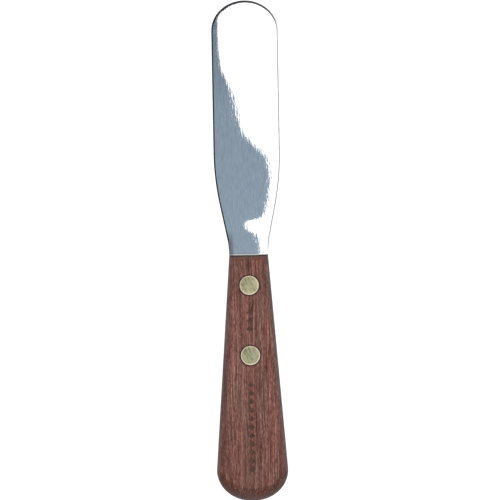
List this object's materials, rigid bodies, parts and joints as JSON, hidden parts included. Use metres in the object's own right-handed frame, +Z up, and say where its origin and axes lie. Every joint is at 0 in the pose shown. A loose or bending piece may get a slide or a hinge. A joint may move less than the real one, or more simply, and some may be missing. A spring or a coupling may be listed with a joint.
{
  "type": "palette knife",
  "caption": "Palette knife: a thin round-ended steel blade with a half tang riveted into a saw-slotted hardwood handle by brass compression rivets.",
  "frame": {"origin": "on the surface that the knife lies on, under the middle of the knife's length and width", "axes": "+Y from the butt to the tip of the blade, +X across the blade, +Z up through the handle's thickness"},
  "size_m": [0.0272, 0.191, 0.0127],
  "materials": {
    "steel": "bright spring steel, finely ground along its length and nearly mirror-like",
    "rosewood": "satin rosewood, reddish brown with darker streaks and open pores along the handle",
    "brass": "brass ground flush with the wood, dull and slightly tarnished"
  },
  "bodies": {
    "root": {"blade": "steel", "handle": "rosewood", "front_rivet_sleeve": "brass", "front_rivet_pin": "brass", "rear_rivet_sleeve": "brass", "rear_rivet_pin": "brass"}
  },
  "joints": []
}
